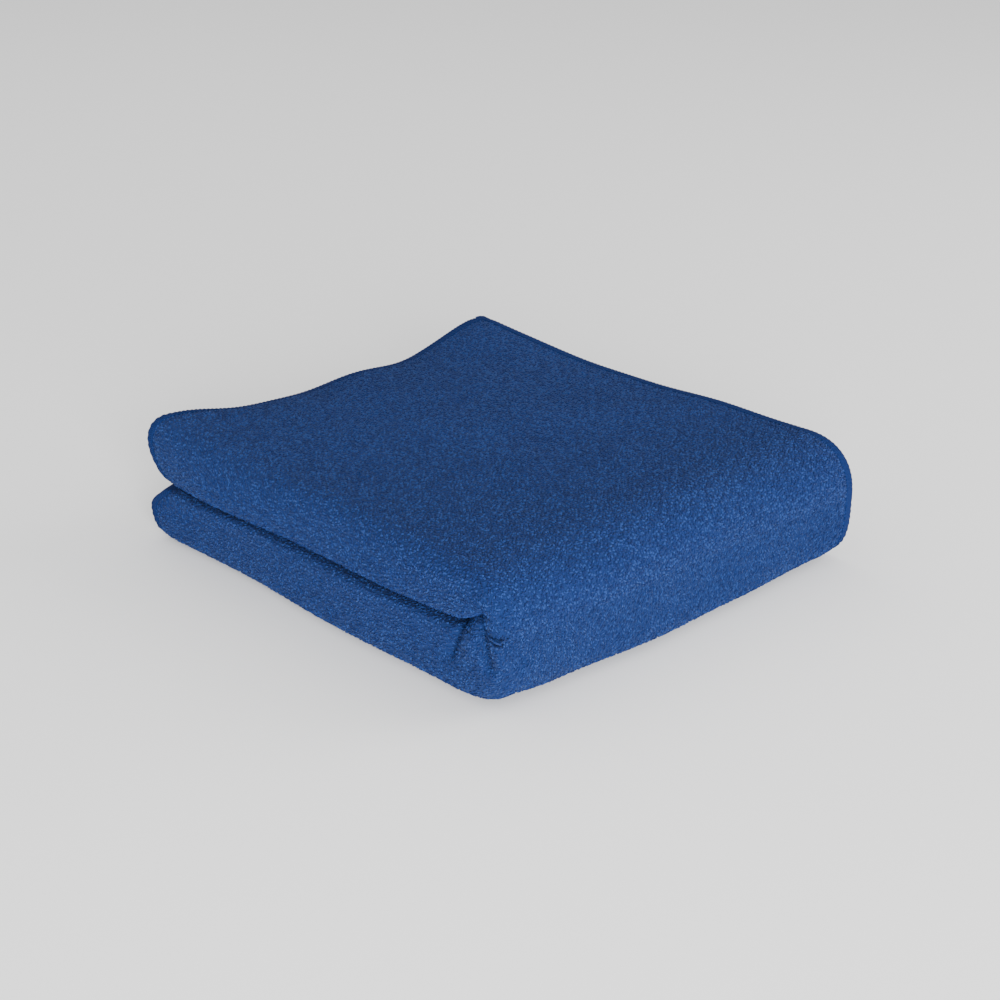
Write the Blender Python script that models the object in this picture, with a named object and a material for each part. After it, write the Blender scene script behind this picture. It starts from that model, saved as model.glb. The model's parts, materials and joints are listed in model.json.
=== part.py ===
"""Quick-dry terry towel, folded into a packet.

One cloth is quartered along its length, so that each half of the packet is a flat spiral of four plies,
and is then halved across its width, so that one half lies on the other. The main fold, where the halves
join, runs along X at -Y. The side folds are at -X, the end folds and short hems at +X, the long hems at +Y.
The cloth is divided into solids at its folds. Metres, +Z up, origin under the middle of the packet.
"""

import math

import bmesh
import bpy
from mathutils import Matrix, Vector

# The flat towel.
TOWEL_WIDTH = 0.500
TOWEL_LENGTH = 0.900
PLY = 0.0072  # one ply of terry with the loft of its loops
LONG_HEM_WIDTH = 0.0060
SHORT_HEM_WIDTH = 0.0060
STITCH_PRESS = 0.0011  # how much thinner the overlock stitches press the terry

# How it is folded.
PLY_GAP = 0.0003  # between the plies of one half
CREASE_GAP = 0.0004  # between the two halves, where the main fold hinges
CORE_RADIUS = 0.0004  # bend radius inside the innermost ply at the main fold
CLEARANCE = 0.0003  # between solids that meet end to end
SHORT_EDGE_INSETS = (0.0020, 0.0050)  # how far plies 1 and 2 end before the end fold's crown
LOWER_LOFT = 1.14  # how full the lower half's folds lie; 1 is the nominal ply
UPPER_LOFT = 0.86

# The care label, sewn into the lower long hem.
LABEL_WIDTH = 0.0160
LABEL_DROP = 0.0180
LABEL_THICKNESS = 0.0008
LABEL_FROM_END = 0.0350

# Facets.
FOLD_SEGMENTS = 12  # round half a turn of a side or end fold
MAIN_FOLD_STEPS = 8  # round a quarter turn of the main fold
SHARP_ANGLE = math.radians(40)

# Heights within a half before it is lofted. Ply 1 is the outermost and ply 4 lies at the crease.
PITCH = PLY + PLY_GAP
STACK = 4 * PLY + 3 * PLY_GAP
HALF_HEIGHT = STACK + CORE_RADIUS
CREASE_Z = LOWER_LOFT * HALF_HEIGHT + CREASE_GAP / 2
HEIGHT = CREASE_Z + CREASE_GAP / 2 + UPPER_LOFT * HALF_HEIGHT
PLY_MIDDLES = [PLY / 2 + number * PITCH for number in range(4)]
SIDE_FOLD_Z = STACK / 2
END_FOLD_Z = (PLY_MIDDLES[2] + PLY_MIDDLES[3]) / 2
HEM_THICKNESS = PLY - STITCH_PRESS

# Fold radii, to the outer face and to the middle of the cloth.
OUTER_FOLD_RADIUS = STACK / 2
PAIR_FOLD_RADIUS = PLY + PLY_GAP / 2
OUTER_FOLD_MIDDLE = 1.5 * PITCH
PAIR_FOLD_MIDDLE = 0.5 * PITCH

# Plan along X: the length that the folds leave is shared by the four plies.
FOLD_ARCS = math.pi * (OUTER_FOLD_MIDDLE + 2 * PAIR_FOLD_MIDDLE)
PACKET_X = (
    TOWEL_LENGTH - FOLD_ARCS + 4 * OUTER_FOLD_RADIUS + 2 * PAIR_FOLD_RADIUS + sum(SHORT_EDGE_INSETS)
) / 4
SIDE_FOLD_X = -PACKET_X / 2 + OUTER_FOLD_RADIUS
END_FOLD_X = PACKET_X / 2 - PAIR_FOLD_RADIUS
SHORT_EDGES = [PACKET_X / 2 - inset for inset in SHORT_EDGE_INSETS]

# Plan along Y: the plies are drawn flush at the long hems, at the mean of what the main fold leaves them.
MEAN_WRAP = math.pi * (HALF_HEIGHT - sum(PLY_MIDDLES) / 4) + CREASE_GAP
FLAT_Y = (TOWEL_WIDTH - MEAN_WRAP) / 2
LABEL_STANDOFF = CLEARANCE + LABEL_THICKNESS
PACKET_Y = HALF_HEIGHT + FLAT_Y + LABEL_STANDOFF
MAIN_FOLD_Y = -PACKET_Y / 2 + HALF_HEIGHT
LONG_EDGE_Y = MAIN_FOLD_Y + FLAT_Y
CLOTH_END_Y = LONG_EDGE_Y - LONG_HEM_WIDTH - CLEARANCE
HINGE = Vector((0, -PACKET_Y / 2, CREASE_Z))


def clear_scene():
    for thing in list(bpy.data.objects):
        bpy.data.objects.remove(thing, do_unlink=True)


def make_finish(name, colour, roughness):
    finish = bpy.data.materials.new(name)
    finish.use_nodes = True
    shader = finish.node_tree.nodes["Principled BSDF"]
    shader.inputs["Base Color"].default_value = (*colour, 1)
    shader.inputs["Roughness"].default_value = roughness
    shader.inputs["Metallic"].default_value = 0
    return finish


def arc(centre_x, centre_z, radius, start, end):
    """Points round a fold in the XZ plane, from the start to the end angle in degrees."""
    points = []
    for step in range(FOLD_SEGMENTS + 1):
        angle = math.radians(start + (end - start) * step / FOLD_SEGMENTS)
        points.append((centre_x + radius * math.cos(angle), centre_z + radius * math.sin(angle)))
    return points


def bar(left, right, middle_z, thickness):
    """Section of a flat run of cloth."""
    low = middle_z - thickness / 2
    high = middle_z + thickness / 2
    return [(left, low), (right, low), (right, high), (left, high)]


def side_fold_section():
    """Half ring that carries ply 1 round into ply 4."""
    outside = arc(SIDE_FOLD_X, SIDE_FOLD_Z, OUTER_FOLD_RADIUS, 270, 90)
    inside = arc(SIDE_FOLD_X, SIDE_FOLD_Z, OUTER_FOLD_RADIUS - PLY, 90, 270)
    return outside + inside


def spiral_side(offset):
    """One face of a strip that follows all four plies, offset from the middle of the cloth."""
    start = (SHORT_EDGES[0], PLY_MIDDLES[0] - offset)
    outer = arc(SIDE_FOLD_X, SIDE_FOLD_Z, OUTER_FOLD_MIDDLE + offset, 270, 90)
    end = arc(END_FOLD_X, END_FOLD_Z, PAIR_FOLD_MIDDLE + offset, 90, -90)
    inner = arc(SIDE_FOLD_X, SIDE_FOLD_Z, PAIR_FOLD_MIDDLE - offset, 90, 270)
    finish = (SHORT_EDGES[1], PLY_MIDDLES[1] + offset)
    return [start, *outer, *end, *inner, finish]


def spiral_section(thickness):
    """Section of the long hem: both faces of the strip, joined at its two ends."""
    return spiral_side(thickness / 2) + spiral_side(-thickness / 2)[::-1]


def solid_from_section(section, start_y, end_y, turn_steps):
    """Extrudes a section from start_y to end_y, and then spins it a quarter turn up to the crease."""
    shape = bmesh.new()
    face = shape.faces.new([shape.verts.new((x, start_y, z)) for x, z in section])
    swept = bmesh.ops.extrude_face_region(shape, geom=[face])["geom"]
    corners = [item for item in swept if isinstance(item, bmesh.types.BMVert)]
    bmesh.ops.translate(shape, verts=corners, vec=(0, end_y - start_y, 0))
    if turn_steps:
        joint_faces = [item for item in swept if isinstance(item, bmesh.types.BMFace)]
        bmesh.ops.spin(
            shape,
            geom=joint_faces,
            cent=(0, end_y, HALF_HEIGHT),
            axis=(1, 0, 0),
            angle=-math.pi / 2,
            steps=turn_steps,
        )
        bmesh.ops.delete(shape, geom=joint_faces, context="FACES_ONLY")  # now inside the solid
    return shape


def add_object(name, shape, finish, parent):
    """Makes a shape an object whose own origin is its parent's."""
    bmesh.ops.recalc_face_normals(shape, faces=shape.faces)
    mesh = bpy.data.meshes.new(name)
    shape.to_mesh(mesh)
    shape.free()
    mesh.transform(Matrix.Translation(-parent.location))
    mesh.materials.append(finish)
    mesh.shade_smooth()
    mesh.set_sharp_from_angle(angle=SHARP_ANGLE)
    thing = bpy.data.objects.new(name, mesh)
    bpy.context.collection.objects.link(thing)
    thing.parent = parent
    return thing


def add_axis(name, place):
    axis = bpy.data.objects.new(name, None)
    axis.empty_display_type = "SINGLE_ARROW"
    axis.empty_display_size = HALF_HEIGHT
    axis.location = place
    bpy.context.collection.objects.link(axis)
    return axis


def half_sections():
    """Name and section of each run of cloth and short hem in one half, which all follow the main fold."""
    cloth_ends = [edge - SHORT_HEM_WIDTH - CLEARANCE for edge in SHORT_EDGES]
    right_ends = [*cloth_ends, END_FOLD_X - CLEARANCE, END_FOLD_X - CLEARANCE]
    names = ["outer_ply", "second_ply", "third_ply", "inner_ply"]
    sections = {}
    for name, middle, right in zip(names, PLY_MIDDLES, right_ends, strict=True):
        sections[name] = bar(SIDE_FOLD_X + CLEARANCE, right, middle, PLY)
    sections["outer_side_fold"] = side_fold_section()
    sections["inner_side_fold"] = arc(SIDE_FOLD_X, SIDE_FOLD_Z, PAIR_FOLD_RADIUS, 270, 90)
    sections["end_fold"] = arc(END_FOLD_X, END_FOLD_Z, PAIR_FOLD_RADIUS, -90, 90)
    hems = ["outer_short_hem", "inner_short_hem"]
    for name, middle, edge in zip(hems, PLY_MIDDLES, SHORT_EDGES, strict=False):
        sections[name] = bar(edge - SHORT_HEM_WIDTH, edge, middle, HEM_THICKNESS)
    return sections


def build_half(side, parent, cloth, thread):
    """Builds the lower half, or the upper half upside down above the crease, each with its own loft."""
    if side == "lower":
        loft = Matrix.Scale(LOWER_LOFT, 4, (0, 0, 1))
    else:
        loft = Matrix.Translation((0, 0, HEIGHT)) @ Matrix.Scale(-UPPER_LOFT, 4, (0, 0, 1))
    shapes = {}
    for name, section in half_sections().items():
        shapes[name] = solid_from_section(section, CLOTH_END_Y, MAIN_FOLD_Y, MAIN_FOLD_STEPS)
    hem_start = LONG_EDGE_Y - LONG_HEM_WIDTH
    shapes["long_hem"] = solid_from_section(spiral_section(HEM_THICKNESS), LONG_EDGE_Y, hem_start, 0)
    for name, shape in shapes.items():
        bmesh.ops.transform(shape, matrix=loft, verts=shape.verts)
        add_object(f"{side}_{name}", shape, thread if name.endswith("hem") else cloth, parent)


def build_label(parent, satin):
    """Blank tape that hangs from the hem of ply 4 down the lower half's long edges."""
    right = PACKET_X / 2 - LABEL_FROM_END
    top = PLY_MIDDLES[3] * LOWER_LOFT
    section = bar(right - LABEL_WIDTH, right, top - LABEL_DROP / 2, LABEL_DROP)
    near = LONG_EDGE_Y + CLEARANCE
    add_object("care_label", solid_from_section(section, near + LABEL_THICKNESS, near, 0), satin, parent)


def main():
    clear_scene()
    cloth = make_finish("terry_cloth", (0.030, 0.078, 0.205), 0.95)
    thread = make_finish("overlock_thread", (0.018, 0.046, 0.135), 0.70)
    satin = make_finish("label_satin", (0.780, 0.780, 0.750), 0.45)
    packet = add_axis("packet_origin", (0, 0, 0))
    main_fold = add_axis("main_fold_axis", HINGE)
    build_half("lower", packet, cloth, thread)
    build_half("upper", main_fold, cloth, thread)
    build_label(packet, satin)


main()
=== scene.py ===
import json
import math

import bpy
import numpy as np
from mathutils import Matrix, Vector


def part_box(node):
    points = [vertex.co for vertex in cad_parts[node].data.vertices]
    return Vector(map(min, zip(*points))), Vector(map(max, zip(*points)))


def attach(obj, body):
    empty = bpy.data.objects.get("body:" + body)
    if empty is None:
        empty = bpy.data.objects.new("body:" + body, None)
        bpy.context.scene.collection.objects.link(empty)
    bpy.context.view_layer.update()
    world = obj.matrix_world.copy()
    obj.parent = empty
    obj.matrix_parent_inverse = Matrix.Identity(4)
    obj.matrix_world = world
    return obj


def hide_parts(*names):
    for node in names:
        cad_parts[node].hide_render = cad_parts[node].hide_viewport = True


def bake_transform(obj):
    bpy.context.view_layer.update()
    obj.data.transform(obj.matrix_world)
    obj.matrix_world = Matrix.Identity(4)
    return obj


# Quick-dry towel folded into a packet: one sheet of terry with its pile, overlocked edges and a care label.
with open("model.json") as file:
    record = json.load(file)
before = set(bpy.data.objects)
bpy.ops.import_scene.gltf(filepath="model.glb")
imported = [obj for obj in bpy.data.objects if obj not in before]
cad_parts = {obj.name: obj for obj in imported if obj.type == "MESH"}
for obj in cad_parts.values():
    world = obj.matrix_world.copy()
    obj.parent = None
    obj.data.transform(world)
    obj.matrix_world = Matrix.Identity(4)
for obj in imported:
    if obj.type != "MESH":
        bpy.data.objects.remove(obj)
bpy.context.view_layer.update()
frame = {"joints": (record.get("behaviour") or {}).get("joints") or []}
print("stage 1: frame loaded")

mm = 0.001
quarter = math.pi / 2
halves = {"lower": -1, "upper": 1}


def hexColour(code):
    channels = [int(code[place:place + 2], 16) / 255 for place in (1, 3, 5)]
    linear = [c / 12.92 if c <= 0.04045 else ((c + 0.055) / 1.055) ** 2.4 for c in channels]
    return (*linear, 1)


# Adds a node: settings are socket values or properties, and each link is an input's name and what feeds it.
def addNode(tree, kind, settings=None, links=None):
    node = tree.nodes.new(kind)
    for name, value in (settings or {}).items():
        if name in node.inputs:
            node.inputs[name].default_value = value
        else:
            setattr(node, name, value)
    for name, source in (links or {}).items():
        tree.links.new(source, node.inputs[name])
    return node


def newMaterial(name):
    material = bpy.data.materials.new(name)
    material.use_nodes = True
    return material, material.node_tree, material.node_tree.nodes["Principled BSDF"]


# Where a pattern lies on the cloth, in millimetres along and across it.
def clothMillimetres(tree, turned=0.0):
    place = addNode(tree, "ShaderNodeUVMap", {"uv_map": "clothMap"})
    settings = {"Scale": (1000, 1000, 1000), "Rotation": (0, 0, turned)}
    return addNode(tree, "ShaderNodeMapping", settings, {"Vector": place.outputs["UV"]}).outputs["Vector"]


def colourRamp(tree, source, stops):
    ramp = addNode(tree, "ShaderNodeValToRGB", None, {"Fac": source})
    for element, (position, colour) in zip(ramp.color_ramp.elements, stops):
        element.position = position
        element.color = hexColour(colour)
    return ramp.outputs["Color"]


def addBump(tree, shader, height, strength, distance):
    bump = addNode(tree, "ShaderNodeBump", {"Strength": strength, "Distance": distance}, {"Height": height})
    tree.links.new(bump.outputs["Normal"], shader.inputs["Normal"])


# The cloth's own measures, from the frame. Heights are those of a half before it is lofted.
creaseZ = frame["joints"][0]["pos_m"][2]
hingeY = frame["joints"][0]["pos_m"][1]
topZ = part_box("upper_outer_ply")[1].z
endFoldLow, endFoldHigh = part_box("lower_end_fold")
sideFoldLow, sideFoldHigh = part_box("lower_outer_side_fold")
pairRadius = endFoldHigh.x - endFoldLow.x
outerRadius = sideFoldHigh.x - sideFoldLow.x
plyGap = 2 * outerRadius - 4 * pairRadius
plyThickness = pairRadius - plyGap / 2
pitch = plyThickness + plyGap
plyMiddles = [plyThickness / 2 + number * pitch for number in range(4)]
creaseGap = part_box("upper_inner_ply")[0].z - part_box("lower_inner_ply")[1].z
loft = {
    "lower": (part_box("lower_second_ply")[0].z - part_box("lower_outer_ply")[0].z) / pitch,
    "upper": (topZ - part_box("upper_second_ply")[1].z) / pitch,
}
halfHeight = (creaseZ - creaseGap / 2) / loft["lower"]
sideFoldX = sideFoldHigh.x
endFoldX = endFoldLow.x
shortEdges = [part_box(f"lower_{name}_short_hem")[1].x for name in ("outer", "inner")]
sideFoldZ = (plyMiddles[0] + plyMiddles[3]) / 2
endFoldZ = (plyMiddles[2] + plyMiddles[3]) / 2
mainFoldY = hingeY + halfHeight
meanDepth = halfHeight - sum(plyMiddles) / 4
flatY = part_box("lower_long_hem")[1].y - mainFoldY

cloth = {
    "ground": 5.6 * mm,  # ground fabric with the feet of its loops
    "flat": (0.5, 0.9),
    "stagger": 0.55,  # share of the step between plies that the main fold gives at the long edges
    "hemPress": 0.45,  # how much thinner the edge is under its stitches
    "taper": (0.2 * mm, 13.2 * mm),  # how far from the edge the cloth comes back to its own thickness
    "outerStep": 3.4 * mm,
    "innerStep": 8 * mm,
    "gatherStep": 1.5 * mm,  # across the cloth, near the gathered corner
    "gatherReach": 45 * mm,
    "acrossStep": 3.8 * mm,
    "wrapSteps": 30,
    "sideFoldSteps": 38,
    "smallFoldSteps": 9,
    # 2 is round and more is squarer. The halves share one section at the crease, so the sheet stays whole.
    "creaseSquareness": {"shared": 4.2, "upper": 5.8, "upperFront": 5.2, "lower": 13.0},
    "outerSquareness": {"shared": 3.0, "upper": 3.2, "upperFront": 2.4, "lower": 3.6},
    "mainSquareness": {"upper": 2.4, "lower": 3.6},
    "ownSection": (0.25, 1.35),  # radians round the main fold over which each half takes up its own section
    "frontSection": (-0.020, 0.095),  # how far forward the upper half takes up its front section
    "bridge": (1.1 * mm, 0.04),  # least height of the cloth over the crease, and its share of the depth
    "band": 0.4 * mm,  # half the height over which the cloth parts at the crease
}

# The cloth runs from one short edge to the other in seven stretches, each given by its ends or its centre.
runs = [
    ("flat", shortEdges[0], sideFoldX, plyMiddles[0], -1),
    ("turn", sideFoldX, sideFoldZ, 1.5 * pitch, 270, 90, 1),
    ("flat", sideFoldX, endFoldX, plyMiddles[3], 1),
    ("turn", endFoldX, endFoldZ, 0.5 * pitch, 90, -90, 1),
    ("flat", endFoldX, sideFoldX, plyMiddles[2], -1),
    ("turn", sideFoldX, sideFoldZ, 0.5 * pitch, 90, 270, -1),
    ("flat", sideFoldX, shortEdges[1], plyMiddles[1], 1),
]


def runLength(run):
    if run[0] == "flat":
        return abs(run[2] - run[1])
    return run[3] * math.radians(abs(run[5] - run[4]))


runEnds = np.concatenate([[0], np.cumsum([runLength(run) for run in runs])])
clothLength = runEnds[-1]


# Middle of the cloth and its outward normal, at distances from the first short edge.
def spiralAt(along):
    x, z, normalX, normalZ = np.zeros((4, len(along)))
    for number, run in enumerate(runs):
        first = -np.inf if number == 0 else runEnds[number]
        last = np.inf if number == len(runs) - 1 else runEnds[number + 1]
        inside = (along >= first) & (along <= last)
        share = (along[inside] - runEnds[number]) / runLength(run)
        if run[0] == "flat":
            x[inside] = run[1] + (run[2] - run[1]) * share
            z[inside] = run[3]
            normalX[inside] = 0
            normalZ[inside] = run[4]
        else:
            angle = np.radians(run[4] + (run[5] - run[4]) * share)
            x[inside] = run[1] + run[3] * np.cos(angle)
            z[inside] = run[2] + run[3] * np.sin(angle)
            normalX[inside] = run[6] * np.cos(angle)
            normalZ[inside] = run[6] * np.sin(angle)
    return x, z, normalX, normalZ


# How far a ply runs from the main fold to its long edge: the deeper plies spend more cloth on the fold.
def flatReach(depth):
    return flatY + cloth["stagger"] * quarter * (meanDepth - depth)


def ramp(value, start, end):
    share = np.clip((value - start) / (end - start), 0, 1)
    return share * share * (3 - 2 * share)


def bump(a, b, middle, reach):
    return np.exp(-(((a - middle[0]) / reach[0]) ** 2) - ((b - middle[1]) / reach[1]) ** 2)


# How the packet has settled on the table.
drape = {
    "topRise": [  # middle, reach and rise of each swelling of the top
        ((0.112, 0.128), (0.030, 0.035), 5.0 * mm),
        ((0.044, 0.130), (0.022, 0.035), -5.5 * mm),
        ((-0.030, 0.130), (0.055, 0.030), -5.0 * mm),
        ((-0.108, 0.125), (0.030, 0.035), 5.0 * mm),
        ((0.115, 0.010), (0.045, 0.055), -2.6 * mm),
    ],
    "ripples": [  # height, waves per 2 pi metres along X and Y, and phase, of two crossing waves
        (0.8 * mm, (38, 21, 0.5), (-12, 27, 1.1)),
        (0.45 * mm, (95, 40, 2.0), (-45, 60, 0.0)),
    ],
    "backCorner": {"middle": (0.118, 0.128), "reach": (0.050, 0.055), "out": 14 * mm},
    "nose": {
        "middle": (-0.115, 0.132),
        "reach": (0.050, 0.045),
        "tuck": 23 * mm,
        "height": {"upper": 0.50, "lower": 0.34},
    },
    "creaseDip": 0.020,  # slope of the crease, down from the hinge to the long edges
    "spread": {  # the front of the lower half, near the table
        "x": 0.005,
        "reach": 0.065,
        "out": 5 * mm,
        "below": (0.35, 0.85),
        "before": (0.090, 0.120),
    },
    "overhang": 2.2 * mm,
    "underhang": 1.6 * mm,
    "sideFrom": (0.050, 0.115),  # where the side face, the far end and the front begin and are complete
    "farFrom": (-0.050, 0.100),
    "frontFrom": (0.060, 0.128),
    # waves along the side and the front, in radians a metre, with their phases
    "sideWave": {"size": 0.9 * mm, "pace": 46, "phase": 0.8, "lag": 1.5, "lagSteepness": 3},
    "frontWave": {"size": 0.7 * mm, "pace": 41, "phase": 0.4, "finer": 0.6, "finerPace": (88, 60)},
}

# The corner where the main fold meets the side folds is gathered. Places are given round the corner, from
# where it leaves the side face, and up from the floor.
gather = {
    "core": (-0.083, -0.096),
    "radius": 30 * mm,
    "pinch": {
        "around": 8 * mm,
        "reach": (30 * mm, 12 * mm),
        "z": 36 * mm,
        "tall": 5 * mm,
        "depth": 1.6 * mm,
    },
    "folds": [  # width, depth and route of each fold; a ridge has a negative depth
        (1.7 * mm, 5.4 * mm, [(0.0055, 0.0352), (0.0100, 0.0378), (0.0142, 0.0406), (0.0180, 0.0436)]),
        (2.5 * mm, 3.0 * mm, [(0.0068, 0.0350), (0.0040, 0.0280), (0.0010, 0.0195)]),
        (2.0 * mm, 4.4 * mm, [(0.0168, 0.0400), (0.0180, 0.0335), (0.0203, 0.0215)]),
        (2.8 * mm, 2.8 * mm, [(0.0265, 0.0318), (0.0290, 0.0285), (0.0318, 0.0235)]),
        (3.0 * mm, -1.4 * mm, [(0.0112, 0.0330), (0.0116, 0.0260)]),
        (2.0 * mm, -0.8 * mm, [(0.0222, 0.0300), (0.0240, 0.0250)]),
        (12 * mm, 2.4 * mm, [(0.0200, 0.0040), (0.0270, 0.0040)]),
    ],
}


# How deep the gathered corner is drawn in.
def gatherDepth(around, z):
    pinch = gather["pinch"]
    reach = np.where(around < pinch["around"], pinch["reach"][0], pinch["reach"][1])
    depth = pinch["depth"] * bump(around, z, (pinch["around"], pinch["z"]), (reach, pinch["tall"]))
    for foldWidth, foldDepth, route in gather["folds"]:
        nearest = np.full_like(z, np.inf)
        for start, end in zip(route, route[1:]):
            stepAround, stepUp = end[0] - start[0], end[1] - start[1]
            share = (around - start[0]) * stepAround + (z - start[1]) * stepUp
            share = np.clip(share / (stepAround**2 + stepUp**2), 0, 1)
            away = np.hypot(around - start[0] - share * stepAround, z - start[1] - share * stepUp)
            nearest = np.minimum(nearest, away)
        depth += foldDepth * np.exp(-((nearest / foldWidth) ** 2))
    return depth


def byHalf(side, values):
    return np.where(side > 0, values["upper"], values["lower"])


# Height of the crease, which slopes down from the hinge.
def creaseAt(y):
    return creaseZ - drape["creaseDip"] * (y - hingeY)


# Takes the neatly folded shape to the settled one. What starts on one side of the crease stays there.
def settle(points):
    x, y, z = points.T
    height = (z - creaseZ) / np.where(z > creaseZ, topZ - creaseZ, creaseZ)
    upper = np.clip(height, 0, None)
    rise = np.zeros_like(x)
    for middle, reach, amount in drape["topRise"]:
        rise += amount * bump(x, y, middle, reach)
    for size, first, second in drape["ripples"]:
        wave = np.sin(first[0] * x + first[1] * y + first[2])
        rise += size * wave * np.sin(second[0] * x + second[1] * y + second[2])
    sideFace = ramp(-x, *drape["sideFrom"])
    farEnd = ramp(y, *drape["farFrom"])
    bulge = -drape["overhang"] * farEnd * np.sin(np.clip(height, 0, 1) * math.pi)
    bulge += drape["underhang"] * farEnd * np.sin(np.clip(-height, 0, 1) * math.pi)
    wave = drape["sideWave"]
    lag = wave["lag"] * np.tanh(wave["lagSteepness"] * height)
    bulge += wave["size"] * np.sin(wave["pace"] * y + wave["phase"] + lag)
    newX = x + sideFace * bulge
    wave = drape["frontWave"]
    finer = wave["finer"] * np.sin(wave["finerPace"][0] * x + wave["finerPace"][1] * z)
    ripple = wave["size"] * (np.sin(wave["pace"] * x + wave["phase"]) + finer)
    newY = y + ramp(-y, *drape["frontFrom"]) * ripple
    corner, nose = drape["backCorner"], drape["nose"]
    newY += corner["out"] * upper * bump(x, y, corner["middle"], corner["reach"])
    noseHeight = byHalf(height, nose["height"])
    newY -= nose["tuck"] * bump(x, y, nose["middle"], nose["reach"]) * np.exp(-((height / noseHeight) ** 2))
    spread = drape["spread"]
    spreadOut = spread["out"] * np.exp(-(((x - spread["x"]) / spread["reach"]) ** 2))
    newY -= spreadOut * ramp(-height, *spread["below"]) * ramp(-y, *spread["before"])
    outX = np.clip(gather["core"][0] - x, 0, None)
    outY = np.clip(gather["core"][1] - y, 0, None)
    out = np.hypot(outX, outY) + 1e-9
    around = np.clip(x - gather["core"][0], 0, None) - np.clip(y - gather["core"][1], 0, None)
    around += gather["radius"] * np.arctan2(outY, outX)
    drawn = gatherDepth(around, z) * np.minimum(out / gather["radius"], 1) / out
    newY += outY * drawn
    dip = drape["creaseDip"] * (newY - hingeY) * (1 - np.abs(height))
    return np.stack([newX + outX * drawn, newY, z + rise * upper - dip], 1)


# Radius of a corner that is squarer than a circle's, against the circle's.
def squareRadius(cosine, sine, power):
    return (np.abs(cosine) ** power + np.abs(sine) ** power) ** (-1 / power)


# Place of a spot of cloth: along it, round the main fold or flat beyond it, in one half, off its middle.
def clothPoint(along, turn, flat, side, lift):
    x, z, normalX, normalZ = spiralAt(along)
    reach = flatReach(halfHeight - z)
    x = x + normalX * lift
    depth = halfHeight - z - normalZ * lift
    out = np.clip(sideFoldX - x, 0, None)
    up = depth - (halfHeight - sideFoldZ)
    fromCentre = np.hypot(out, up) + 1e-9
    own = ramp(turn, *cloth["ownSection"])
    front = ramp(-mainFoldY - flat * reach, *cloth["frontSection"])
    near, far = cloth["creaseSquareness"], cloth["outerSquareness"]
    nearUpper = near["upper"] + front * (near["upperFront"] - near["upper"])
    farUpper = far["upper"] + front * (far["upperFront"] - far["upper"])
    nearPower = near["shared"] + own * (np.where(side > 0, nearUpper, near["lower"]) - near["shared"])
    farPower = far["shared"] + own * (np.where(side > 0, farUpper, far["lower"]) - far["shared"])
    wider = squareRadius(out / fromCentre, up / fromCentre, np.where(up < 0, nearPower, farPower))
    inFold = x < sideFoldX
    x = np.where(inFold, sideFoldX - out * wider, x)
    depth = np.where(inFold, halfHeight - sideFoldZ + up * wider, depth)
    wider = squareRadius(np.cos(turn), np.sin(turn), byHalf(side, cloth["mainSquareness"]))
    y = mainFoldY - depth * np.cos(turn) * wider + flat * reach
    z = creaseZ + side * (creaseGap / 2 + depth * byHalf(side, loft) * np.sin(turn) * wider)
    return np.stack([x, y, z], 1)


# The stitches press the cloth thinner towards its edges.
def edgeTaper(distance):
    return 1 - cloth["hemPress"] * (1 - ramp(distance, *cloth["taper"]))


def halfThickness(along, flat):
    fromLong = (1 - flat) * flatReach(halfHeight - spiralAt(along)[1])
    fromShort = np.minimum(along, clothLength - along)
    return cloth["ground"] / 2 * edgeTaper(fromLong) * edgeTaper(fromShort)


# Makes a mesh of triangles or quads with its faces outwards, and a map of the cloth where it has one.
def meshPiece(name, points, faces, clothMap=None):
    mesh = bpy.data.meshes.new(name)
    corners = faces.shape[1]
    mesh.vertices.add(len(points))
    mesh.vertices.foreach_set("co", points.astype(np.float32).ravel())
    mesh.loops.add(faces.size)
    mesh.loops.foreach_set("vertex_index", faces.astype(np.int32).ravel())
    mesh.polygons.add(len(faces))
    mesh.polygons.foreach_set("loop_start", np.arange(0, faces.size, corners, dtype=np.int32))
    mesh.update(calc_edges=True)
    volume = 0
    for second in range(1, corners - 1):
        sides = np.cross(points[faces[:, second]], points[faces[:, second + 1]])
        volume += np.einsum("ij,ij->i", points[faces[:, 0]], sides).sum()
    if volume < 0:
        mesh.flip_normals()
    if clothMap is not None:
        order = np.empty(len(mesh.loops), np.int32)
        mesh.loops.foreach_get("vertex_index", order)
        layer = mesh.uv_layers.new(name="clothMap")
        layer.uv.foreach_set("vector", clothMap[order].astype(np.float32).ravel())
    mesh.validate()
    mesh.shade_smooth()
    piece = bpy.data.objects.new(name, mesh)
    bpy.context.collection.objects.link(piece)
    print(f"  {name}: {len(faces) * (corners - 2)} triangles")
    return piece


# Faces of a tube whose section runs out along one side and back along the other, with both ends closed.
def tubeFaces(rows, size):
    grid = np.arange(rows * size).reshape(rows, size)
    following = np.roll(grid, -1, axis=1)
    faces = [np.stack([grid[:-1], following[:-1], following[1:], grid[1:]], -1).reshape(-1, 4)]
    for end in (grid[0], grid[-1][::-1]):
        back = end[::-1]
        faces.append(np.array([(end[k], end[k + 1], back[k + 1], back[k]) for k in range(size // 2 - 1)]))
    return np.concatenate(faces)


# Places along the cloth where its mesh has rows: close in the folds and wider where it lies flat.
def alongStations():
    stations = []
    for number, run in enumerate(runs):
        if run[0] == "turn":
            count = cloth["sideFoldSteps"] if run[3] > pitch else cloth["smallFoldSteps"]
        else:
            step = cloth["outerStep"] if number == 0 else cloth["innerStep"]
            count = round(runLength(run) / step)
        stations.extend(runEnds[number] + runLength(run) * k / count for k in range(count))
    return np.array([*stations, clothLength])


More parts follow.
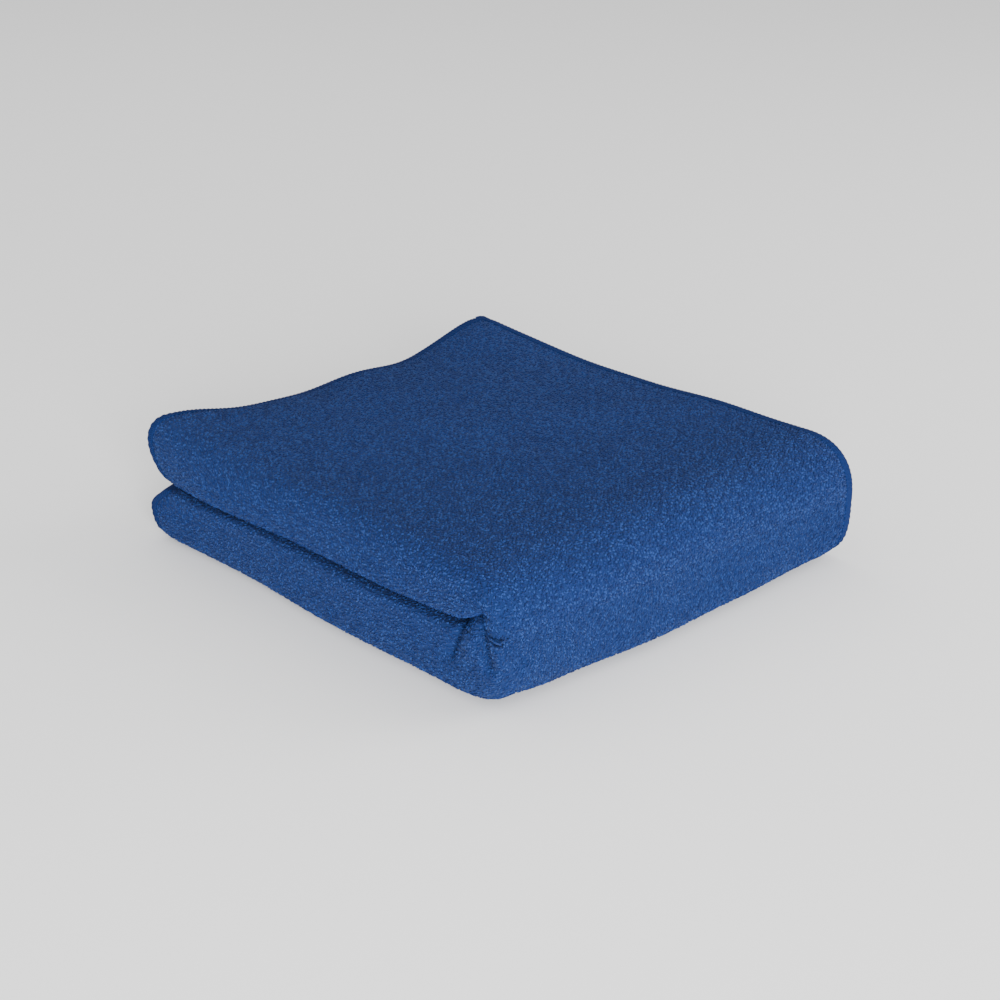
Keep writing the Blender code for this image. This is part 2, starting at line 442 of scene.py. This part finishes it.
# Pairs of shares, round the main fold and along the flat beyond it, from the crease to the long edge.
def acrossStations():
    near = cloth["gatherReach"] / flatY
    turns = np.linspace(0, 1, cloth["wrapSteps"] + 1)
    nearFlats = np.linspace(0, near, round(cloth["gatherReach"] / cloth["gatherStep"]) + 1)[1:]
    farFlats = np.linspace(near, 1, round((flatY - cloth["gatherReach"]) / cloth["acrossStep"]) + 1)[1:]
    return [(turn, 0.0) for turn in turns] + [(1.0, flat) for flat in (*nearFlats, *farFlats)]


# The whole towel as one closed sheet: two faces of the cloth and the rim that joins them.
def buildSheet():
    along = alongStations()
    half = acrossStations()
    across = np.array([(*spot, -1) for spot in reversed(half)] + [(*spot, 1) for spot in half])
    rows, columns = len(along), len(across)
    gridAlong = np.repeat(along, columns)
    share, flat, side = np.tile(across.T, rows)
    middleDepth = halfHeight - spiralAt(gridAlong)[1]
    points, faces = [], []
    grid = np.arange(rows * columns).reshape(rows, columns)
    for face in (1, -1):
        lift = face * halfThickness(gridAlong, flat)
        depth = middleDepth - spiralAt(gridAlong)[3] * lift
        least, slope = cloth["bridge"]
        bridge = np.arcsin(np.minimum((least + slope * depth) / (depth * byHalf(side, loft)), 1))
        turn = bridge + share * (quarter - bridge)
        points.append(settle(clothPoint(gridAlong, turn, flat, side, lift)))
        quads = np.stack([grid[:-1, :-1], grid[:-1, 1:], grid[1:, 1:], grid[1:, :-1]], -1).reshape(-1, 4)
        faces.append(quads if face == 1 else quads[:, ::-1] + grid.size)
    rim = np.concatenate([grid[0, :-1], grid[:-1, -1], grid[-1, :0:-1], grid[:0:-1, 0]])
    following = np.roll(rim, -1)
    faces.append(np.stack([following, rim, rim + grid.size, following + grid.size], 1))
    wrap = share * middleDepth * quarter
    acrossCloth = side * (halfHeight - middleDepth + wrap + flat * flatReach(middleDepth))
    clothMap = np.tile(np.stack([acrossCloth, gridAlong], 1), (2, 1))
    return meshPiece("towelSheet", np.concatenate(points), np.concatenate(faces), clothMap)


# Split-fibre microfibre terry, weft knitted: matt, and deep blue in the gaps between its loops.
def terryMaterial():
    material, tree, shader = newMaterial("microfibreTerry")
    # One cell of this noise is 1.8 mm wide, a little more than the pitch of the loops.
    settings = {"Scale": 0.55, "Detail": 3, "Roughness": 0.65}
    grain = addNode(tree, "ShaderNodeTexNoise", settings, {"Vector": clothMillimetres(tree)}).outputs["Fac"]
    colour = colourRamp(tree, grain, [(0.32, "#0c1d45"), (0.68, "#152a58")])
    tree.links.new(colour, shader.inputs["Base Color"])
    addBump(tree, shader, grain, 0.8, 1 * mm)
    shader.inputs["Roughness"].default_value = 0.95
    shader.inputs["Specular IOR Level"].default_value = 0.13
    shader.inputs["Sheen Weight"].default_value = 0.12
    shader.inputs["Sheen Roughness"].default_value = 0.5
    shader.inputs["Sheen Tint"].default_value = hexColour("#7f9fe0")
    return material


# The loops of the pile, in rows that follow the cloth.
pile = {
    "pitch": 1.35 * mm,
    "hiddenPitch": 2.6 * mm,
    "length": (0.95 * mm, 1.50 * mm),
    "width": (0.75 * mm, 1.05 * mm),
    "height": (0.65 * mm, 1.05 * mm),
    "sunk": 0.25 * mm,
    "stray": 0.40,  # how far a loop strays from its row, in pitches
    "turnSpread": 0.75,  # radians about the row's own direction
    "sway": {"turn": 0.35, "along": 90, "across": 14},  # how the rows' direction drifts, in radians
    "creaseClear": 0.1 * mm,
    "firstTurn": 0.006,  # radians round the main fold from the crease to the first loop
    "hemClear": 5.6 * mm,
    "seamClear": 1.5 * mm,  # from the hinge line to the loops inside the main fold
    "samples": 90,  # along each stretch, to space the loops evenly
    "shades": {"Deep": "#101f4a", "Mid": "#152859", "Light": "#1f376d"},
    "shadeShares": (0.3, 0.75),
    "seed": 11,
}


# One loop as a tube that splays and bends down at its ends, about a unit long, wide and high.
loopForm = {"sides": 3, "radius": 0.5, "length": 0.9, "lift": 0.45, "splay": 1.15, "bend": 0.75}


def modelLoop():
    bpy.ops.object.select_all(action="DESELECT")
    bpy.ops.mesh.primitive_cylinder_add(
        vertices=loopForm["sides"],
        radius=loopForm["radius"],
        depth=loopForm["length"],
        end_fill_type="TRIFAN",
        rotation=(0, quarter, 0),
        location=(0, 0, loopForm["lift"]),
    )
    loop = bpy.context.object
    bpy.ops.object.transform_apply(location=True, rotation=True, scale=True)
    bpy.ops.object.mode_set(mode="EDIT")
    bpy.ops.mesh.select_all(action="DESELECT")
    bpy.ops.object.mode_set(mode="OBJECT")
    for vertex in loop.data.vertices:  # the middles of its two ends
        vertex.select = math.hypot(vertex.co.y, vertex.co.z - loopForm["lift"]) < 0.01
    bpy.ops.object.mode_set(mode="EDIT")
    bpy.ops.transform.resize(value=(loopForm["splay"], 1, 1), center_override=(0, 0, 0))
    bpy.ops.transform.translate(value=(0, 0, -loopForm["bend"]))
    bpy.ops.mesh.select_all(action="SELECT")
    bpy.ops.mesh.quads_convert_to_tris()
    bpy.ops.object.mode_set(mode="OBJECT")
    points = np.array([vertex.co for vertex in loop.data.vertices])
    triangles = np.array([list(polygon.vertices) for polygon in loop.data.polygons])
    bpy.data.objects.remove(loop)
    return points, triangles


# Place and directions of the cloth's face at each spot.
def surfaceFrame(along, turn, flat, side, lift):
    step, leastDepth = 0.5 * mm, 2 * mm
    depth = halfHeight - spiralAt(along)[1]
    onWrap = turn < quarter - 1e-6
    nextTurn = np.where(onWrap, turn + step / np.maximum(depth, leastDepth), turn)
    nextFlat = np.where(onWrap, flat, flat + step / flatReach(depth))
    here = settle(clothPoint(along, turn, flat, side, lift))
    tangentAlong = settle(clothPoint(along + step, turn, flat, side, lift)) - here
    tangentAcross = settle(clothPoint(along, nextTurn, nextFlat, side, lift)) - here
    tangentAlong /= np.linalg.norm(tangentAlong, axis=1)[:, None] + 1e-12
    normal = np.cross(tangentAlong, tangentAcross)
    normal /= np.linalg.norm(normal, axis=1)[:, None] + 1e-12
    return here, tangentAlong, np.cross(normal, tangentAlong), normal


# Spots at even distances over one stretch of cloth, row by row, with the spacing that each spot was given.
def pileSpots(ends, withWrap, side, spacings, random):
    samples = pile["samples"]
    flatEnd = 1 - pile["hemClear"] / flatY
    turn = np.concatenate([np.linspace(pile["firstTurn"], quarter, samples), np.full(samples, quarter)])
    flat = np.concatenate([np.zeros(samples), np.linspace(0, flatEnd, samples)])
    if not withWrap:
        turn, flat = turn[samples:], flat[samples:]
    spacing = np.where(flat > 0, spacings["flat"], spacings["wrap"])
    fine = np.linspace(*ends, samples)
    ones = np.ones(samples)
    lift = cloth["ground"] / 2
    edge = settle(clothPoint(fine, quarter * ones, flatEnd / 2 * ones, side * ones, lift * ones))
    travel = np.concatenate([[0], np.cumsum(np.linalg.norm(np.diff(edge, axis=0), axis=1))])
    rows = round(travel[-1] / spacing.min())
    kept = spacing.min() / spacing[-1]  # coarser stretches skip rows too
    ones = np.ones(len(turn))
    found = []
    for row in range(rows):
        here = np.interp((row + 0.5) / rows * travel[-1], travel, fine)
        path = settle(clothPoint(here * ones, turn, flat, side * ones, lift * ones))
        lengths = np.linalg.norm(np.diff(path, axis=0), axis=1) / spacing[1:]
        density = np.concatenate([[0], np.cumsum(lengths)])
        stops = np.arange((row % 2) / 2, density[-1], 1.0)
        stops = stops + pile["stray"] * (2 * random.random(len(stops)) - 1)
        stops = np.clip(stops, 0, density[-1])
        spots = np.stack([
            np.full(len(stops), here) + pile["stray"] * spacing.min() * (2 * random.random(len(stops)) - 1),
            np.interp(stops, density, turn),
            np.interp(stops, density, flat),
            np.interp(stops, density, spacing),
        ])
        onCoarse = spots[2] > 0
        spots = spots[:, ~onCoarse | (random.random(len(stops)) < kept)]
        found.append(spots)
    spots = np.concatenate(found, axis=1)
    spots[0] = np.clip(spots[0], *ends)
    return spots


def buildPile(name, half, ends, withWrap, spacings, seed):
    random = np.random.default_rng(seed)
    side = halves[half]
    along, turn, flat, spacing = pileSpots(ends, withWrap, side, spacings, random)
    places = surfaceFrame(along, turn, flat, np.full(len(along), side), halfThickness(along, flat))
    drift = pile["sway"]
    sway = drift["turn"] * np.sin(along * drift["along"]) * np.cos(flat * drift["across"])
    return growLoops(name, half, places, sway, spacing / pile["pitch"], random)


# Loops inside the main fold, which face each other over the crease until the towel is opened.
def buildSeamPile(name, half, seed):
    random = np.random.default_rng(seed)
    side = halves[half]
    alongs = np.arange((runEnds[1] + runEnds[2]) / 2, (runEnds[3] + runEnds[4]) / 2, pile["pitch"])
    none = np.zeros(len(alongs))
    firsts = clothPoint(alongs, none, none, side, none + cloth["ground"] / 2)
    spots = []
    for row, first in enumerate(firsts):
        ys = np.arange(hingeY + pile["seamClear"], first[1], pile["pitch"]) + (row % 2) / 2 * pile["pitch"]
        spots.extend((first[0], y) for y in ys)
    spots = np.array(spots)
    spots = spots[spots[:, 0] < shortEdges[1] - pile["hemClear"]]
    spots = spots + pile["stray"] * pile["pitch"] * (2 * random.random((len(spots), 2)) - 1)
    level = (creaseGap / 2 + cloth["bridge"][0]) * side
    here = settle(np.column_stack([spots, np.full(len(spots), creaseZ + level)]))
    axes = [np.tile(axis, (len(spots), 1)) for axis in np.eye(3)]
    return growLoops(name, half, (here, *axes), 0, np.ones(len(spots)), random)


# Copies the loop to every place, each with its own size and turn. None crosses the crease or the floor.
def growLoops(name, half, places, sway, scale, random):
    here, tangentAlong, tangentAcross, normal = places
    side = halves[half]
    shape, triangles = loopShape
    count = len(here)
    normal = normal * -side
    draw = random.random((6, count))
    sizes = [pile["length"], pile["width"], pile["height"]]
    length, width, height = (low + share * (high - low) for (low, high), share in zip(sizes, draw))
    angle = (draw[3] + draw[4] - 1) * 2 * pile["turnSpread"] + sway
    lengthwise = tangentAcross * np.cos(angle)[:, None] + tangentAlong * np.sin(angle)[:, None]
    widthwise = np.cross(normal, lengthwise)
    sized = [(lengthwise, length * scale), (widthwise, width * scale), (normal, height)]
    axes = np.stack([axis * size[:, None] for axis, size in sized], 1)
    feet = here - normal * pile["sunk"]
    points = (feet[:, None, :] + np.einsum("vk,nkc->nvc", shape, axes)).reshape(-1, 3)
    limit = creaseAt(points[:, 1]) + side * pile["creaseClear"]
    points[:, 2] = np.maximum(points[:, 2], limit) if side > 0 else np.clip(points[:, 2], 0, limit)
    faces = (triangles[None] + (np.arange(count) * len(shape))[:, None, None]).reshape(-1, 3)
    piece = meshPiece(name, points, faces)
    for finish in loopFinishes:
        piece.data.materials.append(finish)
    shade = np.digitize(draw[5], pile["shadeShares"])
    piece.data.polygons.foreach_set("material_index", np.repeat(shade, len(triangles)).astype(np.int32))
    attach(piece, f"{half}_half")
    return piece


# Microfibre yarn of the loops, in three shades of one dye: neighbours differ a little, and look like a nap.
def loopMaterials():
    made = []
    for name, colour in pile["shades"].items():
        material, _, shader = newMaterial(f"microfibreLoops{name}")
        shader.inputs["Base Color"].default_value = hexColour(colour)
        shader.inputs["Roughness"].default_value = 0.9
        shader.inputs["Specular IOR Level"].default_value = 0.13
        shader.inputs["Sheen Weight"].default_value = 0.12
        shader.inputs["Sheen Roughness"].default_value = 0.45
        shader.inputs["Sheen Tint"].default_value = hexColour("#7f9fe0")
        made.append(material)
    return made


# Overlock stitches that wrap the cut edges.
hem = {
    "stitch": 2.4 * mm,
    "stepsPerStitch": 4,
    "stand": 0.25 * mm,  # how far the threads stand off the cloth
    "ridge": 0.5 * mm,
    # how far outwards each line of the section lies, and the share of its thickness there
    "lines": [
        (-5.6 * mm, 1.0),
        (-4.6 * mm, 1.0),
        (-3.0 * mm, 1.0),
        (-1.4 * mm, 1.0),
        (-0.3 * mm, 0.85),
        (0.45 * mm, 0.35),
    ],
    "inside": [(-5.6 * mm, -0.55), (-0.6 * mm, 0.0), (-5.6 * mm, 0.55)],
    "slant": 0.55,  # how far a stitch leans over one face, in stitches
    "lineStep": 0.8 * mm,  # from line to line in the pattern of the thread
    "creaseClear": 1.9 * mm,  # no section lies nearer the crease
}


# Section of the stitching: out along one face, back along the other, and then inside the cloth.
def hemRing():
    ring = [(out, close, 1) for out, close in hem["lines"]]
    ring += [(out, -close, 1) for out, close in reversed(hem["lines"])]
    return ring + [(out, level, 0) for out, level in hem["inside"]]


def longHemPath(side):
    count = round(clothLength / hem["stitch"]) * hem["stepsPerStitch"]
    path = np.linspace(0, clothLength, count + 1)
    depth = halfHeight - spiralAt(path)[1]

    def place(out):
        return path, np.full_like(path, quarter), 1 + out / flatReach(depth)

    return path, np.full_like(path, side), place


def shortHemPath(edge):
    depth = (halfHeight - spiralAt(np.array([edge]))[1])[0]
    wrap, reach = depth * quarter, flatReach(depth)
    count = round(2 * (wrap + reach) / hem["stitch"]) * hem["stepsPerStitch"]
    path = np.linspace(-wrap - reach, wrap + reach, count + 1)
    path = path[np.abs(path) > hem["creaseClear"]]
    turn = np.clip(np.abs(path) / wrap, 0, 1) * quarter
    flat = np.clip((np.abs(path) - wrap) / reach, 0, 1)
    outwards = -1 if edge == 0 else 1

    def place(out):
        return np.full_like(path, edge + outwards * out), turn, flat

    return path, np.sign(path), place


def buildHem(name, path, side, place):
    ring = hemRing()
    lines = []
    for number, (out, level, stitched) in enumerate(ring):
        along, turn, flat = place(out)
        lift = halfThickness(np.clip(along, 0, clothLength), np.minimum(flat, 1)) + hem["stand"]
        if stitched:
            lean = hem["slant"] * number / len(hem["lines"])
            lift += hem["ridge"] * np.abs(np.sin(math.pi * (path / hem["stitch"] + lean)))
        lines.append(settle(clothPoint(along, turn, flat, side, lift * level)))
    size = len(ring)
    clothMap = np.stack([np.repeat(path, size), np.tile(np.arange(size) * hem["lineStep"], len(path))], 1)
    piece = meshPiece(name, np.stack(lines, 1).reshape(-1, 3), tubeFaces(len(path), size), clothMap)
    piece.data.materials.append(threadFinish)
    return piece


# Textured polyester thread, dyed with the cloth: a little smoother and darker than the loops.
def threadMaterial():
    material, tree, shader = newMaterial("overlockPolyesterThread")
    # Threads lie about 0.6 mm apart over the edge and lean with the stitch.
    settings = {"Scale": 0.55, "Distortion": 1.5, "Detail": 2}
    place = {"Vector": clothMillimetres(tree, 0.5)}
    strands = addNode(tree, "ShaderNodeTexWave", settings, place).outputs["Fac"]
    colour = colourRamp(tree, strands, [(0.0, "#0c1c46"), (1.0, "#162b5d")])
    tree.links.new(colour, shader.inputs["Base Color"])
    addBump(tree, shader, strands, 0.6, 0.3 * mm)
    shader.inputs["Roughness"].default_value = 0.9
    shader.inputs["Specular IOR Level"].default_value = 0.08
    return material


# Care label: a blank tape that hangs from the hem of the innermost ply.
label = {
    "tape": 0.24 * mm,
    "gap": 0.16 * mm,  # between the two leaves of the folded tape
    "tuck": 3.0 * mm,  # how far it goes into the hem
    "lean": 2.2 * mm,
    "proud": 0.9 * mm,
    "below": 0.6 * mm,  # from the top of its place to the tape
    "short": 1.0 * mm,  # how much less than its place it hangs
    "bend": (0.8 * mm, 0.9 * mm),  # where it turns down over the hem
    "curl": (0.5 * mm, 3),  # size and turns of the curl down the tape
    "ripple": (0.25 * mm, 300),  # size and radians a metre of the ripple across it
    "bends": 8,
    "steps": 22,
    "across": 8,
}


def unitNormals(line):
    tangent = np.gradient(line, axis=0)
    tangent /= np.linalg.norm(tangent, axis=1)[:, None]
    return np.stack([-tangent[:, 1], tangent[:, 0]], 1)


# A tape folded at its lower end, with both leaves sewn into the hem.
def buildLabel():
    low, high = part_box("care_label")
    edgeY = mainFoldY + flatReach(halfHeight - plyMiddles[3]) + label["proud"]
    top = high.z - label["below"]
    drop = high.z - low.z - label["short"]
    bend, (curl, turns), (ripple, pace) = label["bend"], label["curl"], label["ripple"]
    route = [(edgeY - label["tuck"], top), (edgeY - bend[0], top), (edgeY, top - bend[1])]
    for share in np.linspace(0.1, 1, label["bends"]):
        out = curl * math.sin(turns * share) - label["lean"] * share**2
        route.append((edgeY + out, top - drop * share))
    route = np.array(route)
    lengths = np.concatenate([[0], np.cumsum(np.hypot(*np.diff(route, axis=0).T))])
    stops = np.linspace(0, lengths[-1], label["steps"])
    path = np.stack([np.interp(stops, lengths, route[:, k]) for k in (0, 1)], 1)
    apart = unitNormals(path) * (label["tape"] + label["gap"]) / 2
    foldEnd = path[-1] + (path[-1] - path[-2]) / np.linalg.norm(path[-1] - path[-2]) * label["tape"]
    middleLine = np.concatenate([path + apart, [foldEnd], (path - apart)[::-1]])
    thick = unitNormals(middleLine) * label["tape"] / 2
    section = np.concatenate([middleLine + thick, (middleLine - thick)[::-1]])
    xs = np.linspace(low.x, high.x, label["across"] + 1)
    points = np.array([(x, y + ripple * math.sin((x - low.x) * pace), z) for x in xs for y, z in section])
    travel = np.concatenate([[0], np.cumsum(np.linalg.norm(np.diff(section, axis=0), axis=1))])
    clothMap = np.stack([np.repeat(xs, len(section)), np.tile(travel, len(xs))], 1)
    piece = meshPiece("careLabel", points, tubeFaces(len(xs), len(section)), clothMap)
    piece.data.materials.append(satinMaterial())
    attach(piece, "lower_half")
    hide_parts("care_label")
    return piece


# Blank polyester satin tape, woven: off-white, with a soft shine along its fine ribs.
def satinMaterial():
    material, tree, shader = newMaterial("wovenSatinTape")
    # Ribs are 0.9 mm apart, drawn coarser than a satin's so that they show.
    settings = {"bands_direction": "Y", "Scale": 0.35, "Distortion": 0.3}
    ribs = addNode(tree, "ShaderNodeTexWave", settings, {"Vector": clothMillimetres(tree)}).outputs["Fac"]
    colour = colourRamp(tree, ribs, [(0.0, "#d8d7d0"), (1.0, "#efeee8")])
    tree.links.new(colour, shader.inputs["Base Color"])
    addBump(tree, shader, ribs, 0.3, 0.1 * mm)
    shader.inputs["Roughness"].default_value = 0.38
    shader.inputs["Anisotropic"].default_value = 0.5
    return material


# Angles in degrees, distance in metres, and lens and sensor in millimetres.
view = {
    "azimuth": -42.84,
    "elevation": 24.76,
    "distance": 0.8862,
    "lens": 65.466,
    "sensor": 36,
    "shift": (0.0079, 0.0457),
}


def setCamera():
    azimuth, elevation = math.radians(view["azimuth"]), math.radians(view["elevation"])
    level = math.cos(elevation)
    back = Vector((math.sin(azimuth) * level, -math.cos(azimuth) * level, math.sin(elevation)))
    lens = bpy.data.cameras.new("studioCamera")
    lens.sensor_width = view["sensor"]
    lens.lens = view["lens"]
    lens.shift_x, lens.shift_y = view["shift"]
    lens.clip_start = 0.01
    camera = bpy.data.objects.new("studioCamera", lens)
    camera.location = back * view["distance"]
    camera.rotation_euler = (-back).to_track_quat("-Z", "Y").to_euler()
    bpy.context.scene.collection.objects.link(camera)
    bpy.context.scene.camera = camera


lights = {
    "key": {"place": (-1.00, -1.45, 0.42), "size": 0.9, "power": 76},
    "fill": {"place": (1.30, -0.90, 0.80), "size": 1.2, "power": 14},
    "back": {"place": (0.30, 1.20, 1.30), "size": 1.2, "power": 3},
    "world": 0.95,
}


def setLights():
    for name in ("key", "fill", "back"):
        lamp = bpy.data.lights.new(name + "Light", "AREA")
        lamp.shape = "DISK"
        lamp.size = lights[name]["size"]
        lamp.energy = lights[name]["power"]
        stand = bpy.data.objects.new(name + "Light", lamp)
        stand.location = lights[name]["place"]
        stand.rotation_euler = (-stand.location).to_track_quat("-Z", "Y").to_euler()
        bpy.context.scene.collection.objects.link(stand)
    world = bpy.data.worlds.new("studioWorld")
    world.use_nodes = True
    world.node_tree.nodes["Background"].inputs["Color"].default_value = (1, 1, 1, 1)
    world.node_tree.nodes["Background"].inputs["Strength"].default_value = lights["world"]
    bpy.context.scene.world = world


# A seamless sheet of matt studio paper.
def setFloor():
    bpy.ops.mesh.primitive_plane_add(size=12, location=(0, 0, -0.2 * mm))
    floor = bpy.context.object
    floor.name = "studioFloor"
    bpy.ops.object.transform_apply(location=True, rotation=True, scale=True)
    material, _, shader = newMaterial("paleStudioPaper")
    shader.inputs["Base Color"].default_value = hexColour("#f8f8f8")
    shader.inputs["Roughness"].default_value = 0.9
    floor.data.materials.append(material)


# Bakes the piece's placement into its mesh; the piece stays whole and is not parted at the crease.
def blendAtCrease(piece):
    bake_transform(piece)


setCamera()
setLights()
setFloor()
print("stage 2: camera, light and floor set")

sheet = buildSheet()
sheet.data.materials.append(terryMaterial())
blendAtCrease(sheet)
plies = ["outer_ply", "second_ply", "third_ply", "inner_ply"]
folds = ["outer_side_fold", "inner_side_fold", "end_fold"]
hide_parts(*[f"{half}_{name}" for half in halves for name in plies + folds])
print("stage 3: sheet laid")

loopShape = modelLoop()
loopFinishes = loopMaterials()
trims = []
plyOne = (pile["hemClear"], runEnds[1])
splitOne = sum(plyOne) / 2
splitFour = (runEnds[2] + runEnds[3]) / 2
for half in halves:
    seen = {"wrap": pile["pitch"], "flat": pile["pitch"]}
    outer = seen if half == "upper" else {"wrap": pile["pitch"], "flat": pile["hiddenPitch"]}
    stretches = {
        "OuterPileFar": ((plyOne[0], splitOne), True, outer),
        "OuterPileNear": ((splitOne, plyOne[1]), True, outer),
        "FoldPile": ((runEnds[1], runEnds[2]), True, seen),
        "InnerPileNear": ((runEnds[2], splitFour), False, seen),
        "InnerPileFar": ((splitFour, runEnds[4]), False, seen),
    }
    for name, (ends, withWrap, spacings) in stretches.items():
        trims.append(buildPile(half + name, half, ends, withWrap, spacings, pile["seed"] + len(trims)))
    trims.append(buildSeamPile(half + "SeamPile", half, pile["seed"] + len(trims)))
print("stage 4: pile grown")

threadFinish = threadMaterial()
for half, side in halves.items():
    piece = buildHem(f"{half}LongHem", *longHemPath(side))
    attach(piece, f"{half}_half")
    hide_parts(f"{half}_long_hem")
    trims.append(piece)
for name, edge in {"outer": 0.0, "inner": clothLength}.items():
    piece = buildHem(f"{name}ShortHem", *shortHemPath(edge))
    blendAtCrease(piece)
    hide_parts(f"lower_{name}_short_hem", f"upper_{name}_short_hem")
    trims.append(piece)
print("stage 5: edges overlocked")

buildLabel()
print("stage 6: label sewn in")
